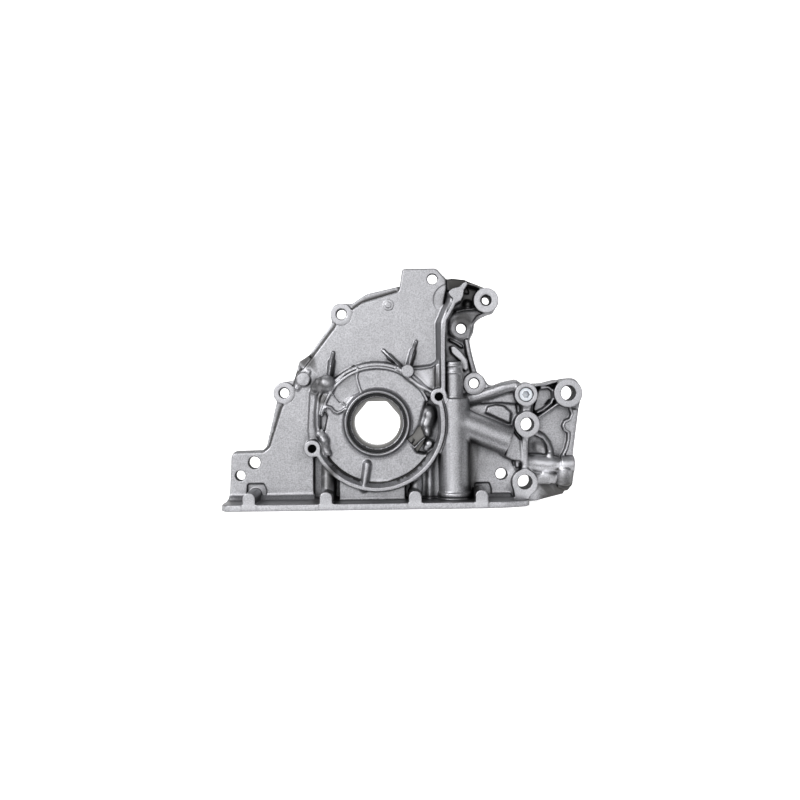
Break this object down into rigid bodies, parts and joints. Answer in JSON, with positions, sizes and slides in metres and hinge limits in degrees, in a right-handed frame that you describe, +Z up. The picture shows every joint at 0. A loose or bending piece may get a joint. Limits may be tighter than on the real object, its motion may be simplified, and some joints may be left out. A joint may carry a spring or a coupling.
{
  "type": "engine oil pump",
  "caption": "Die-cast engine front cover that houses a crank-driven gerotor oil pump, with a relief valve, a seal seat, oil galleries, a sump flange and an accessory bracket.",
  "frame": {"origin": "on the crankshaft axis, in the rear face that bolts to the engine block", "axes": "+Z up, +X to the right seen from the front, the front with the seal boss faces -Y"},
  "size_m": [0.3037, 0.048, 0.1995],
  "materials": {
    "cast_aluminium": "bead-blasted die-cast aluminium, machined faces brighter",
    "plate_steel": "ground steel plate, lightly oiled",
    "screw_steel": "black oxide",
    "ground_steel": "ground and polished",
    "sintered_steel": "sintered steel, ground faces",
    "sintered_steel_outer": "sintered steel, ground faces",
    "spring_steel": "phosphated spring wire",
    "zinc_steel": "bright zinc plate",
    "washer_aluminium": "soft aluminium",
    "cup_steel": "pressed steel",
    "seal_rubber": "matt black rubber"
  },
  "bodies": {
    "housing": {"pump_housing": "cast_aluminium", "rear_cover_plate": "plate_steel", "cover_screws": "screw_steel", "cover_dowel_pins": "ground_steel", "relief_spring": "spring_steel", "relief_plug": "zinc_steel", "relief_plug_washer": "washer_aluminium", "gallery_cup_plug": "cup_steel", "bracket_hex_plug": "zinc_steel", "bracket_plug_washer": "washer_aluminium", "side_gallery_plug": "zinc_steel", "delivery_port_seal": "seal_rubber", "pickup_port_seal": "seal_rubber"},
    "inner_rotor": {"inner_rotor": "sintered_steel"},
    "outer_rotor": {"outer_rotor": "sintered_steel_outer"},
    "relief_piston": {"relief_piston": "ground_steel"}
  },
  "joints": [
    {"name": "outer_spin", "type": "hinge", "parent": "housing", "child": "outer_rotor", "pos_m": [0, -0.012, 0.0032], "axis": [0, 1, 0], "continuous": true},
    {"name": "inner_spin", "type": "hinge", "parent": "housing", "child": "inner_rotor", "pos_m": [0, -0.012, 0], "axis": [0, 1, 0], "continuous": true},
    {"name": "relief_slide", "type": "slide", "parent": "housing", "child": "relief_piston", "axis": [0, 0, -1], "range_m": [0, 0.006], "stiffness_N_per_m": 3000, "springref_m": -0.004, "deforming": ["relief_spring"]}
  ],
  "couplings": [
    {"joint": "inner_spin", "follows": "outer_spin", "ratio": 1.1111}
  ]
}
